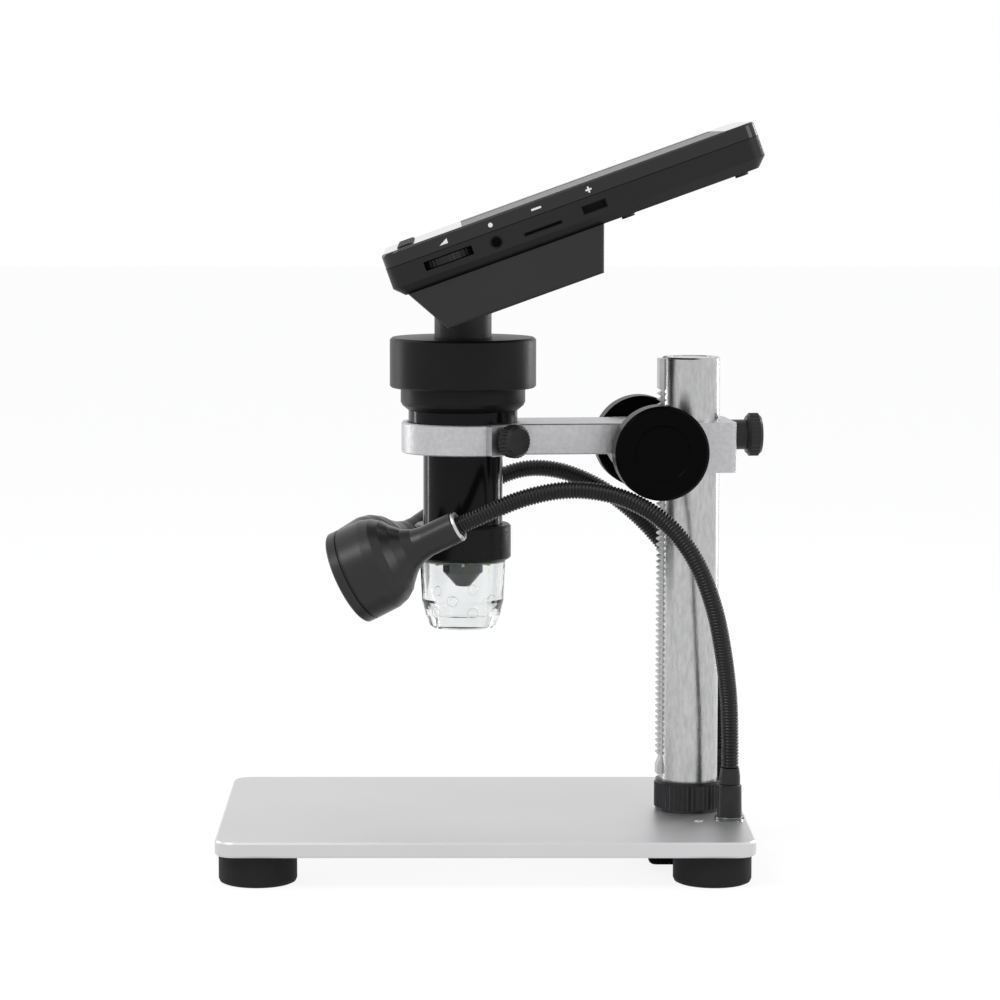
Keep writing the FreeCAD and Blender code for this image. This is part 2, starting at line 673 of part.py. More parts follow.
def make_lens_cell():
    """The nose that carries the front lens and slides in the tube to focus."""
    on_head(turned("lens_cell", [
        ("lens_radius", "lens_tip"), ("2.6", "lens_tip"), ("nose_radius", "lens_tip + 5.2"),
        ("nose_radius", "tube_low + 1"), ("tube_bore - running_fit", "tube_low + 1"),
        ("tube_bore - running_fit", "board_seat - 10"), ("nose_radius - 1", "board_seat - 10"),
        ("nose_radius - 1", "tube_low - 2"), ("lens_radius", "lens_tip + 5.5"),
    ]))
    on_head(turned("front_lens", [
        ("0", "lens_tip + 0.6"), ("lens_radius", "lens_tip + 0.9"),
        ("lens_radius", "lens_tip + 4"), ("0", "lens_tip + 4.6"),
    ]))


def make_guard():
    """The cuff on the tube's end, the ring of lights and the clear guard."""
    on_head(turned("guard_cuff", [
        ("tube_radius", "tube_low + 2.4"), ("guard_radius", "tube_low + 2.4"), ("guard_radius", "cuff_low"),
        ("cuff_radius - 0.7", "cuff_low"), ("cuff_radius", "cuff_low + 0.7"),
        ("cuff_radius", "cuff_top - 0.7"), ("cuff_radius - 0.7", "cuff_top"), ("tube_radius", "cuff_top"),
    ]))
    on_head(turned("guard_light_board", [
        ("tube_bore + 0.6", "tube_low - 1.4"), ("tube_radius - 0.2", "tube_low - 1.4"),
        ("tube_radius - 0.2", "tube_low"), ("tube_bore + 0.6", "tube_low"),
    ]))
    wall = "guard_wall"
    on_head(turned("clear_guard", [
        ("guard_radius - 1.6", "tube_low + 2.4"), ("guard_radius", "tube_low + 2.4"),
        ("guard_radius", "cuff_low"), ("guard_radius - 0.5", "cuff_low - 1"),
        ("guard_radius - 1.2", "guard_low + 9.6"), ("guard_radius - 2.6", "guard_low + 4.2"),
        ("guard_radius - 4", "guard_low + 0.7"), ("guard_radius - 4.8", "guard_low"),
        ("guard_radius - 4.8 - %s" % wall, "guard_low"),
        ("guard_radius - 4 - %s" % wall, "guard_low + 4.8"),
        ("guard_radius - 1.5 - %s" % wall, "guard_low + 10.4"), ("guard_radius - 1.6", "cuff_low - 1"),
    ]))


def make_focus_ring():
    on_head(turned("focus_ring", [
        ("post_radius + clearance", "sleeve_top + clearance"),
        ("focus_step - 2.4", "sleeve_top + clearance"), ("focus_step - 0.6", "sleeve_top + 1.8"),
        ("focus_step", "sleeve_top + 3"), ("focus_step", "focus_split"),
        ("focus_radius - 0.6", "focus_split"), ("focus_radius", "focus_split + 0.6"),
        ("focus_radius", "focus_top - 0.8"), ("focus_radius - 0.8", "focus_top"),
        ("post_radius + clearance", "focus_top"),
    ]))


# Display, in its own sloping frame

WIDE = "display_width / 2"
DEEP = "display_deep"
BOX_LOW = "(-display_deep - box_drop)"
BOX_PROFILE = [("4.4", "-display_deep"), ("77", "-display_deep"), ("71.2", BOX_LOW), ("13.5", BOX_LOW)]


def make_neck_post():
    """The round neck, cut to the slope of the box that it carries."""
    post = doc.addObject("Part::Cylinder", "post_stock")
    post.setExpression("Radius", tied("post_radius"))
    post.setExpression("Height", tied("display_height - sleeve_top"))
    on_head(post, "sleeve_top")
    stock = start_body("box_space")
    subparts.remove(stock)
    sketch = start_sketch(stock, "box_space_profile", "XZ_Plane")
    draw_outline(sketch, [("4.4", "0"), ("77", "0")] + BOX_PROFILE[1:] + BOX_PROFILE[:1])
    pad(stock, sketch, "box_width", both_ways=True)
    on_display(stock)
    neck = doc.addObject("Part::Cut", "neck_post")
    neck.Base = post
    neck.Tool = stock
    subparts.append(neck)


def make_bezel():
    body = start_body("display_bezel")
    plan = start_sketch(body, "bezel_plan", "XY_Plane", "-bezel_thick")
    draw_rectangle(plan, "0", "display_length", "-" + WIDE, WIDE)
    pad(body, plan, "bezel_thick")
    dress(body, "Fillet", "display_corner", is_upright)
    dress(body, "Fillet", "1", at_height("0"))
    window = start_sketch(body, "screen_window", "XY_Plane")
    draw_rectangle(window, "window_low", "window_low + window_length", "-window_width / 2", "window_width / 2")
    pocket(body, window, "bezel_thick")
    seat = start_sketch(body, "panel_seat", "XY_Plane", "-bezel_thick")
    draw_rectangle(seat, "window_low - 2", "window_low + window_length + 2",
                   "-window_width / 2 - 3", "window_width / 2 + 3")
    pocket(body, seat, "bezel_thick - glass_thick", upwards=True)
    holes = start_sketch(body, "button_holes", "XY_Plane")
    seats = start_sketch(body, "button_seats", "XY_Plane", "-bezel_thick")
    for index in range(-2, 3):
        draw_circle(holes, "button_row", "%d * button_pitch" % index, "button_radius + clearance")
        draw_circle(seats, "button_row", "%d * button_pitch" % index, "button_radius + 1.2")
    pocket(body, holes, "bezel_thick")
    pocket(body, seats, "2", upwards=True)
    on_display(body)


def make_screen():
    for name, low, high, grow_long, grow_side in (
            ("screen_glass", "-glass_thick", "-0.1", "0", "0"),
            ("lcd_panel", "-glass_thick - panel_thick", "-glass_thick", "1.9", "2.9")):
        body = start_body(name)
        plan = start_sketch(body, name + "_plan", "XY_Plane", low)
        draw_rectangle(plan, "window_low - " + grow_long, "window_low + window_length + " + grow_long,
                       "-window_width / 2 - " + grow_side, "window_width / 2 + " + grow_side)
        pad(body, plan, "(%s) - (%s)" % (high, low))
        on_display(body)


def make_buttons():
    for index in range(-2, 3):
        side = "%d * button_pitch" % index
        button = turned("button_%d" % (index + 3), [
            ("0", "-bezel_thick + 0.6"), ("button_radius + 0.9", "-bezel_thick + 0.6"),
            ("button_radius + 0.9", "-bezel_thick + 1.7"), ("button_radius", "-bezel_thick + 1.7"),
            ("button_radius", "button_rise - 0.3"), ("button_radius - 0.4", "button_rise"),
            ("0", "button_rise"),
        ])
        frame = display_frame()
        spot = frame.multVec(Vector(size("button_row"), size(side), 0))
        button.Placement = FreeCAD.Placement(spot, frame.Rotation)


def display_frame():
    """The display's frame as numbers."""
    swing = math.radians(size("arm_swing"))
    along = size("column_place - display_front") - size("arm_reach") * math.cos(swing)
    side = -size("arm_reach") * math.sin(swing)
    turn = FreeCAD.Rotation(Vector(0, -1, 0), size("display_slope"))
    return FreeCAD.Placement(Vector(along, side, size("display_height")), turn)


# Half the chord of the dimmer wheel at the wall's inner face, with its clearance
WHEEL_CHORD = "(sqrt(wheel_radius ^ 2 - (wheel_radius - wheel_proud - shell_wall - 1) ^ 2) + clearance)"
PORTS = [
    ("card", "56.4", "10.2", "14", "1.4"),
    ("power", "75.7", "9.2", "9", "3.2"),
]


def make_case():
    """The back shell, with its ports and the dimmer's slot in the near wall."""
    body = start_body("display_case")
    plan = start_sketch(body, "case_plan", "XY_Plane", "-" + DEEP)
    draw_rectangle(plan, "0", "display_length", "-" + WIDE, WIDE)
    pad(body, plan, "display_deep - bezel_thick")
    dress(body, "Fillet", "display_corner", is_upright)
    dress(body, "Chamfer", "display_bevel", at_height("-" + DEEP))
    hollow = start_sketch(body, "case_hollow", "XY_Plane", "-bezel_thick")
    draw_rectangle(hollow, "shell_wall + 1", "display_length - shell_wall - 1",
                   "-%s + shell_wall + 1" % WIDE, WIDE + " - shell_wall - 1")
    pocket(body, hollow, "display_deep - bezel_thick - shell_wall")
    wall = start_sketch(body, "near_wall_cuts", "XZ_Plane", WIDE)
    half_slot = WHEEL_CHORD
    draw_rectangle(wall, "wheel_place - " + half_slot, "wheel_place + " + half_slot,
                   "-wheel_depth - wheel_thick / 2 - 0.4", "-wheel_depth + wheel_thick / 2 + 0.4")
    draw_circle(wall, "39.5", "-9.2", "2.3")
    for name, along, depth, length, height in PORTS:
        draw_rectangle(wall, "%s - %s / 2" % (along, length), "%s + %s / 2" % (along, length),
                       "-%s - %s / 2" % (depth, height), "-%s + %s / 2" % (depth, height))
    pocket(body, wall, "shell_wall + 1.5")
    pin = start_sketch(body, "wheel_pin", "XY_Plane", "-display_deep + shell_wall")
    draw_circle(pin, "wheel_place", "-%s + wheel_radius - wheel_proud" % WIDE, "1.5")
    pad(body, pin, "display_deep - shell_wall - wheel_depth + wheel_thick / 2 + 0.6")
    holes = start_sketch(body, "case_screw_holes", "XY_Plane", "-" + DEEP)
    for along in ("86", "128"):
        for sign in ("", "-"):
            draw_circle(holes, along, sign + "(window_width / 2 + 6)", "1.4")
    pocket(body, holes, "shell_wall", upwards=True)
    on_display(body)


def make_ports():
    """The three sockets behind the near wall, as separate solids of one group."""
    outside = -size(WIDE)
    pieces = []
    for name, along, depth, length, height in PORTS:
        half_long, half_high = size(length) / 2, size(height) / 2
        corner = Vector(size(along) - half_long, outside + 0.6, -size(depth) - half_high)
        shell = Part.makeBox(2 * half_long, 6, 2 * half_high, corner)
        inner = corner + Vector(0.35, -1, 0.35)
        pieces.append(shell.cut(Part.makeBox(2 * half_long - 0.7, 5.5, 2 * half_high - 0.7, inner)))
    spot = Vector(39.5, outside + 0.3, -9.2)
    pieces.append(rod(2.3, 0, 7, spot, ACROSS).cut(rod(1.75, -1, 6, spot, ACROSS)))
    from_shape("port_sockets", Part.makeCompound(pieces), display_frame())


def make_inside():
    """Main board on the case's floor, battery on the box's floor, and the case screws."""
    floor = size("-display_deep + shell_wall")
    board = Part.makeBox(90, 60, 1.6, Vector(38, -28, floor))
    chips = [Part.makeBox(12, 12, 1.4, Vector(70, -6, floor + 1.6)),
             Part.makeBox(8, 10, 1.2, Vector(96, 8, floor + 1.6))]
    from_shape("main_board", board.fuse(chips).removeSplitter(), display_frame())
    low = size(BOX_LOW + " + shell_wall")
    from_shape("battery", Part.makeBox(42, 56, 9, Vector(22, -28, low)), display_frame())
    screws = []
    for along in (86, 128):
        for sign in (1, -1):
            spot = Vector(along, sign * size("window_width / 2 + 6"), size("-" + DEEP))
            screws.append(rod(2.4, -0.9, 0, spot).fuse(rod(1.4, 0, 3, spot)).removeSplitter())
    from_shape("case_screws", Part.makeCompound(screws), display_frame())


def make_rear_box():
    body = start_body("rear_box")
    profile = start_sketch(body, "rear_box_profile", "XZ_Plane")
    draw_outline(profile, BOX_PROFILE)
    pad(body, profile, "box_width", both_ways=True)
    low = size(BOX_LOW)
    side = size("box_width / 2")

    def below_sides(edge):
        box = edge.BoundBox
        return box.ZMin < low + 0.01 and abs(abs(box.YMin + box.YMax) / 2 - side) < 0.01

    dress(body, "Fillet", "1.6", below_sides)
    hollow = start_sketch(body, "battery_room", "XY_Plane", "-" + DEEP)
    draw_rectangle(hollow, "21", "65", "-box_width / 2 + 11", "box_width / 2 - 11")
    pocket(body, hollow, "box_drop - shell_wall")
    on_display(body)


def make_wheel():
    """The knurled edge wheel that dims the lights."""
    low = -size("wheel_depth + wheel_thick / 2")
    shape = star_prism(size("wheel_radius"), 0.3, 40, low, -size("wheel_depth - wheel_thick / 2"))
    wheel = from_shape("dimmer_wheel", shape.cut(rod(1.5 + size("running_fit"), low - 1, 0)))
    frame = display_frame()
    spot = frame.multVec(Vector(size("wheel_place"), -size(WIDE + " - wheel_radius + wheel_proud"), 0))
    wheel.Placement = FreeCAD.Placement(spot, frame.Rotation)


# Lamps: socket, swivel, gooseneck and bell. The near one comes first, and the far one has its own set

LAMPS = {
    "near": {"side": -1, "end": Vector(-9.8, -40, 108.3), "toe": 13, "dip": 26.1,
             "route": [(87.6, -25.5, 46), (85.2, -31.5, 62), (81.6, -37, 79),
                       (74.6, -40.6, 97), (63.6, -42, 110.8), (48.6, -43, 119.4), (31.5, -43.6, 122.3),
                       (15.5, -43.7, 119.7)]},
    "far": {"side": 1, "end": Vector(-15, 49, 103.6), "toe": 35, "dip": 27,
            "route": [(87.2, 25.5, 46), (84, 31.5, 62), (78, 36.5, 79),
                      (68, 40.5, 93.5), (56, 44, 106), (42, 48.5, 115.5), (26, 52.5, 121),
                      (10.5, 55.5, 119.6)]},
}


def lamp_direction(lamp):
    """The way the lamp shines."""
    dip = math.radians(lamp["dip"])
    toe = math.radians(lamp["toe"])
    level = math.cos(dip)
    return Vector(-level * math.cos(toe), -lamp["side"] * level * math.sin(toe), -math.sin(dip))


def rounded_route(points):
    """Straight runs joined by arcs, each as large as its two runs allow."""
    edges = []
    start = points[0]
    for before, corner, after in zip(points, points[1:], points[2:]):
        back = before - corner
        ahead = after - corner
        half_turn = (math.pi - back.getAngle(ahead)) / 2
        trim = 0.45 * min(back.Length, ahead.Length)
        radius = trim / math.tan(half_turn)
        print("neck bend radius %.1f" % radius)
        back.normalize()
        ahead.normalize()
        entry = corner + back * trim
        leave = corner + ahead * trim
        inward = (back + ahead).normalize()
        middle = corner + inward * (radius / math.cos(half_turn) - radius)
        edges.append(Part.LineSegment(start, entry).toShape())
        edges.append(Part.Arc(entry, middle, leave).toShape())
        start = leave
    edges.append(Part.LineSegment(start, points[-1]).toShape())
    return Part.Wire(edges)


def make_gooseneck(name, lamp):
    direction = lamp_direction(lamp)
    foot = Vector(size("socket_place"), lamp["side"] * size("socket_side"), size("socket_height + 6"))
    route = [foot, foot + UP * 12] + [Vector(*point) for point in lamp["route"]]
    route += [lamp["end"] - direction * 12, lamp["end"]]
    path = rounded_route(route)
    section = Part.Wire([Part.Circle(foot, route[1] - foot, size("neck_radius")).toShape()])
    tube = path.makePipeShell([section], True, False)
    expected = math.pi * size("neck_radius") ** 2 * path.Length
    print("gooseneck_%s length %.1f volume ratio %.4f" % (name, path.Length, tube.Volume / expected))
    from_shape("gooseneck_" + name, tube)


def make_socket(name, lamp):
    side = ("-" if lamp["side"] < 0 else "") + "socket_side"
    socket = turned("lamp_socket_" + name, [
        ("pivot_radius + running_fit", "0"), ("socket_radius + 0.2", "0"),
        ("socket_radius", "socket_height - 0.5"), ("socket_radius - 0.5", "socket_height"),
        ("pivot_radius + running_fit", "socket_height"),
    ])
    place(socket, "socket_place", side, "0")
    swivel = turned("swivel_" + name, [
        ("0", "2"), ("pivot_radius", "2"), ("pivot_radius", "socket_height + clearance"),
        ("socket_radius - 0.5", "socket_height + clearance"), ("socket_radius - 0.5", "socket_height + 3"),
        ("neck_radius + 0.3", "socket_height + 6"), ("0", "socket_height + 6"),
    ])
    place(swivel, "socket_place", side, "0")


def make_lamp(name, lamp):
    """The bell, turned from the profile of half its section, with its lens and light board."""
    direction = lamp_direction(lamp)
    frame = FreeCAD.Placement(lamp["end"], FreeCAD.Rotation(UP, direction))
    rim = "lamp_length"
    bell = "lamp_radius"
    shell = turned("lamp_shell_" + name, [
        ("0", "0"), ("stem_radius - 0.6", "0"), ("stem_radius", "0.6"), ("stem_radius", "12.5"),
        ("stem_radius + 0.6", "16"), ("stem_radius + 2.3", "19.4"), (bell + " - 6.5", "22.6"),
        (bell + " - 3.5", "25"), (bell + " - 1.4", "28"), (bell + " - 0.3", "31.5"),
        (bell, rim + " - 4.6"), (bell + " - 0.5", rim + " - 4.3"), (bell + " - 0.5", rim + " - 3.9"),
        (bell, rim + " - 3.6"), (bell, rim + " - 0.5"), (bell + " - 0.5", rim), (bell + " - lamp_wall", rim),
        (bell + " - lamp_wall", rim + " - 6"), (bell + " - 3.4", "32"), (bell + " - 8", "27"), ("0", "27"),
    ])
    shell.Placement = frame
    lens = turned("lamp_lens_" + name, [
        ("0", rim + " - 3.4"), (bell + " - lamp_wall", rim + " - 3.4"),
        (bell + " - lamp_wall", rim + " - 1.2"), ("0", rim + " - 0.6"),
    ])
    lens.Placement = frame
    board = turned("lamp_light_" + name, [
        ("0", "27"), ("7", "27"), ("7", "28.6"), ("3", "28.6"), ("3", "30"), ("0", "30.8"),
    ])
    board.Placement = frame


def make_socket_washers():
    """The clear ring round each socket's foot."""
    washers = []
    for lamp in LAMPS.values():
        spot = Vector(size("socket_place"), lamp["side"] * size("socket_side"), 0)
        outer = Part.makeCone(size("socket_radius + 1.4"), size("socket_radius + 1.1"), 1.3, spot)
        washers.append(outer.cut(rod(size("socket_radius + 0.25"), -1, 2, spot)))
    from_shape("socket_washers", Part.makeCompound(washers))


def make_lamps():
    make_socket_washers()
    for name, lamp in LAMPS.items():
        make_socket(name, lamp)
        make_gooseneck(name, lamp)
        make_lamp(name, lamp)


make_plate()
make_feet()
make_foot_screws()
make_wiring_cover()
make_column()
make_rack()
make_collar()
make_carriage()
make_arm()
make_arm_holes()
make_arm_bolts()
make_pinion()
make_knobs()
make_hand_screws()
make_tube()
make_lens_cell()
make_guard()
make_focus_ring()
make_neck_post()
make_bezel()
make_screen()
make_buttons()
make_case()
make_ports()
make_inside()
make_rear_box()
make_wheel()
make_lamps()
doc.recompute()

# Every object is checked before anything is written

for item in doc.Objects:
    if "Invalid" in item.State or "Error" in item.State:
        raise ValueError("%s did not build: %s" % (item.Name, item.State))
for piece in subparts:
    if piece.Shape.isNull() or not piece.Shape.isValid() or not piece.Shape.Solids:
        raise ValueError("%s has no sound shape" % piece.Label)
os.makedirs("parts", exist_ok=True)
for piece in subparts:
    piece.Shape.exportStep("parts/%s.step" % piece.Label)
print("%d sub-parts written" % len(subparts))
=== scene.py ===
# Digital microscope with a tilted display on a toothed column. Metres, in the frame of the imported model.
import bmesh
import bpy
import math
from mathutils import Matrix, Vector


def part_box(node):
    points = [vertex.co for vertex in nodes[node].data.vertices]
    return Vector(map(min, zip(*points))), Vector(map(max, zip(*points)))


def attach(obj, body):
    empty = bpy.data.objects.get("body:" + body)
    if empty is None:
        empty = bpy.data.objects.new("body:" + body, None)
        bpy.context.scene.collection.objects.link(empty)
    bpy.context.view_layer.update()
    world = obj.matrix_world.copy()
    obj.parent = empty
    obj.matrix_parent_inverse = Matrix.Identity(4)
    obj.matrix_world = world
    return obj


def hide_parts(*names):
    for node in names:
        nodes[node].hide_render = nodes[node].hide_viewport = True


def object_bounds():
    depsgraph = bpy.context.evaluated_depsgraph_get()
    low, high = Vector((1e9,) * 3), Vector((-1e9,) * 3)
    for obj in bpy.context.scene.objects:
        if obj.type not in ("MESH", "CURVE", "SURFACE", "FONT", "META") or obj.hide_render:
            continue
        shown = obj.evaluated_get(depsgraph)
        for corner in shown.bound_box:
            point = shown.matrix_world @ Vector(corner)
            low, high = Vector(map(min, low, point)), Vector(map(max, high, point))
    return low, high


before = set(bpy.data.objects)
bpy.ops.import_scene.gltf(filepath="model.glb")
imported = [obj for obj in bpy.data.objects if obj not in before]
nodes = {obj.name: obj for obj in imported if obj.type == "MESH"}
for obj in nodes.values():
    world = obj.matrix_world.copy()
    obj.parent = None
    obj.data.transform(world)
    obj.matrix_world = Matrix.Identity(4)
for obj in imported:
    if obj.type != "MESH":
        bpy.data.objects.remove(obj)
cad_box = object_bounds()


# The set: the photograph's viewpoint, a pale floor under the feet, and soft light from a white room.
# A large lamp above the left shoulder shines on the upper edges, a weaker one fills the right, and two
# tall strips behind draw thin lights down the sides of the tube and the column.

scene = bpy.context.scene
scene.view_settings.view_transform = "Standard"

camera_data = bpy.data.cameras.new("viewpoint")
camera_data.sensor_width = 36
camera_data.lens = 128.32
camera_data.shift_x = 0.0577
camera_data.shift_y = -0.0088
camera = bpy.data.objects.new("viewpoint", camera_data)
camera.location = (-0.01514, -1.29044, 0.24507)
camera.rotation_euler = (math.pi / 2 - 0.099, 0, 0)
scene.collection.objects.link(camera)
scene.camera = camera


class Sum:
    """A socket that can be calculated with: each operator adds a Math node."""

    def __init__(self, tree, socket):
        self.tree = tree
        self.socket = socket

    def math(self, operation, *values):
        return self.tree.node("ShaderNodeMath", {"operation": operation}, values)[0]

    def __add__(self, other):
        return self.math("ADD", self, other)

    def __mul__(self, other):
        return self.math("MULTIPLY", self, other)

    def __sub__(self, other):
        return self.math("SUBTRACT", self, other)

    def __rsub__(self, other):
        return self.math("SUBTRACT", other, self)

    def __gt__(self, other):
        return self.math("GREATER_THAN", self, other)

    def __lt__(self, other):
        return self.math("LESS_THAN", self, other)

    __radd__ = __add__
    __rmul__ = __mul__


class Tree:
    """A node tree in the making, of a material, the world or a set of Geometry Nodes."""

    def __init__(self, tree):
        self.tree = tree

    def node(self, kind, settings=None, sockets=()):
        """Adds a node, sets it, fills its sockets by number or name, and gives its outputs."""
        added = self.tree.nodes.new(kind)
        for name, value in (settings or {}).items():
            setattr(added, name, value)
        pairs = sockets.items() if isinstance(sockets, dict) else enumerate(sockets)
        for key, value in pairs:
            self.fill(added.inputs[key], value)
        return [Sum(self, socket) for socket in added.outputs if socket.enabled]

    def fill(self, socket, value):
        if isinstance(value, Sum):
            self.tree.links.new(value.socket, socket)
        else:
            socket.default_value = value


def seen_rays(tree):
    """1 for rays from the camera, in a mirror or through glass, and 0 for the rest."""
    rays = tree.node("ShaderNodeLightPath")
    camera_ray, glossy, through = rays[0], rays[3], rays[6]
    return camera_ray.math("MINIMUM", camera_ray + glossy + through, 1.0)


world = bpy.data.worlds.new("white_room")
scene.world = world
world.use_nodes = True
world.node_tree.nodes.clear()
room = Tree(world.node_tree)
room_level = 0.62
room_light = room.node("ShaderNodeBackground", None, [(0.97, 0.98, 1.0, 1), room_level])[0]
room_white = room.node("ShaderNodeBackground", None, [(1, 1, 1, 1), 1.0])[0]
room_mix = room.node("ShaderNodeMixShader", None, [seen_rays(room), room_light, room_white])[0]
room.node("ShaderNodeOutputWorld", None, [room_mix])

floor_reach = 6
floor_glow = 1.07
floor_shown = 0.82
lowest = cad_box[0][2]
floor_corners = [(floor_reach * x, floor_reach * y, lowest) for x, y in ((-1, -1), (1, -1), (1, 1), (-1, 1))]
floor_mesh = bpy.data.meshes.new("floor")
floor_mesh.from_pydata(floor_corners, [], [(0, 1, 2, 3)])
floor = bpy.data.objects.new("floor", floor_mesh)
scene.collection.objects.link(floor)
pale = bpy.data.materials.new("pale_floor")
pale.use_nodes = True
pale.node_tree.nodes.clear()
ground = Tree(pale.node_tree)
ground_matte = ground.node("ShaderNodeBsdfDiffuse", None, [(0.88, 0.88, 0.88, 1)])[0]
ground_glow = ground.node("ShaderNodeEmission", None, [(1, 1, 1, 1), floor_glow])[0]
ground_share = seen_rays(ground) * floor_shown
ground_mix = ground.node("ShaderNodeMixShader", None, [ground_share, ground_matte, ground_glow])[0]
ground.node("ShaderNodeOutputMaterial", None, [ground_mix])
floor_mesh.materials.append(pale)

lamp_aim = (0, 0, 0.12)
for lamp_name, lamp_place, lamp_wide, lamp_high, lamp_power in (
        ("soft_above_left", (-0.75, -0.75, 1.15), 0.7, 0.7, 8.0),
        ("soft_right", (1.1, -0.5, 0.7), 0.6, 0.6, 3.0),
        ("strip_right_behind", (0.75, 0.62, 0.25), 0.09, 0.7, 2.2),
        ("strip_left_behind", (-0.85, 0.5, 0.25), 0.09, 0.7, 1.6)):
    lamp_data = bpy.data.lights.new(lamp_name, "AREA")
    lamp_data.shape = "RECTANGLE"
    lamp_data.size = lamp_wide
    lamp_data.size_y = lamp_high
    lamp_data.energy = lamp_power
    lamp_object = bpy.data.objects.new(lamp_name, lamp_data)
    lamp_object.location = lamp_place
    lamp_object.rotation_euler = (Vector(lamp_aim) - Vector(lamp_place)).to_track_quat("-Z", "Y").to_euler()
    scene.collection.objects.link(lamp_object)


# Stage plate: thick aluminium sheet, bead-blasted and clear anodised, with a cut bevel round both faces.
# The blasted skin is a fine even grain with a few faint handling marks on the top.


class Finish(Tree):
    """A material made for one kind of surface."""

    def __init__(self, name, **fixed):
        self.material = bpy.data.materials.new(name)
        self.material.use_nodes = True
        super().__init__(self.material.node_tree)
        self.surface = self.tree.nodes["Principled BSDF"]
        for socket, value in fixed.items():
            self.surface.inputs[socket.replace("_", " ")].default_value = value
        self.place = self.node("ShaderNodeTexCoord")[3]

    def set(self, **links):
        for socket, value in links.items():
            self.fill(self.surface.inputs[socket.replace("_", " ")], value)

    def noise(self, scale, detail=2.0, stretch=(1, 1, 1)):
        """Cloudy values about 0.5; the scale is in patches a metre."""
        place = self.node("ShaderNodeMapping", None, {"Vector": self.place, "Scale": stretch})[0]
        return self.node("ShaderNodeTexNoise", None, {"Vector": place, "Scale": scale, "Detail": detail})[0]

    def between(self, mask, first, second):
        """A colour that goes from the first to the second with the mask."""
        return self.node("ShaderNodeMix", {"data_type": "RGBA"},
                         {0: mask, 6: (*first, 1), 7: (*second, 1)})[0]

    def bumps(self, height, distance, strength=1.0):
        return self.node("ShaderNodeBump", None, {"Height": height, "Distance": distance,
                                                  "Strength": strength})[0]


def dress(finish, *names):
    """Puts a finish on CAD nodes."""
    for name in names:
        for slot in nodes[name].material_slots:
            slot.material = finish.material


plate_skin = Finish("blasted_aluminium", Metallic=1.0)
plate_grain = plate_skin.noise(2600, 3)
plate_marks = plate_skin.noise(14, 4)
plate_skin.set(Base_Color=plate_skin.between(plate_marks, (0.58, 0.58, 0.59), (0.65, 0.65, 0.655)),
               Roughness=plate_grain * 0.16 + plate_marks * 0.08 + 0.3,
               Normal=plate_skin.bumps(plate_grain, 0.00004, 0.5))
dress(plate_skin, "base_plate")


# Feet: four turned rubber pads, each held by a screw from below, and the moulded cover of the lamps' wiring.
# The rubber is slightly dusty and matt.

rubber = Finish("dusty_rubber", Specular_IOR_Level=0.15)
rubber_cloud = rubber.noise(90, 4)
rubber.set(Base_Color=rubber.between(rubber_cloud, (0.01, 0.01, 0.01), (0.022, 0.022, 0.021)),
           Roughness=rubber_cloud * 0.3 + 0.55,
           Normal=rubber.bumps(rubber.noise(1500, 3), 0.00006, 0.6))
dress(rubber, "foot_front_near", "foot_front_far", "foot_rear_near", "foot_rear_far")

steel = Finish("plain_steel", Metallic=1.0)
steel_brush = steel.noise(900, 2, (1, 1, 0.08))
steel.set(Base_Color=steel.between(steel_brush, (0.45, 0.45, 0.46), (0.62, 0.62, 0.62)),
          Roughness=steel_brush * 0.2 + 0.25)
dress(steel, "foot_screws", "column_plug", "column_bolt", "arm_bolts", "pinion_shaft", "pinion_bushes")


def moulded(name, dark, light, level, rough, grain=1900, depth=0.00005):
    """Spark-eroded black moulding: a fine even texture and slight cloudiness."""
    finish = Finish(name, Specular_IOR_Level=level)
    texture = finish.noise(grain, 3)
    cloud = finish.noise(35, 3)
    finish.set(Base_Color=finish.between(cloud, dark, light), Roughness=texture * 0.14 + rough,
               Normal=finish.bumps(texture, depth, 0.6))
    return finish


cover_plastic = moulded("cover_moulding", (0.004, 0.004, 0.0045), (0.008, 0.008, 0.0085), 0.03, 0.7)
dress(cover_plastic, "wiring_cover")


# Circuit boards: green glass-fibre sheet with faint copper tracks under the mask, and a foil-wrapped battery.
# They sit inside the shells and only show through the openings.

board_mask = Finish("green_board", Roughness=0.35)
track_lines = board_mask.node("ShaderNodeTexBrick", None, {"Vector": board_mask.place, "Scale": 260})[1]
board_mask.set(Base_Color=board_mask.between(track_lines, (0.02, 0.13, 0.06), (0.05, 0.22, 0.1)))
dress(board_mask, "lamp_driver_board", "sensor_board", "guard_light_board", "main_board",
      "lamp_light_near", "lamp_light_far")
foil = Finish("battery_foil", Metallic=0.6)
foil_creases = foil.noise(120, 5)
foil.set(Base_Color=foil.between(foil_creases, (0.3, 0.31, 0.34), (0.5, 0.51, 0.54)),
         Roughness=foil_creases * 0.3 + 0.3, Normal=foil.bumps(foil_creases, 0.0004, 0.4))
dress(foil, "battery")


# Column: drawn aluminium tube, polished along its length, with the rack's bar let into its front.
# Faint lines run up the tube, and the cutter's marks run across the teeth.

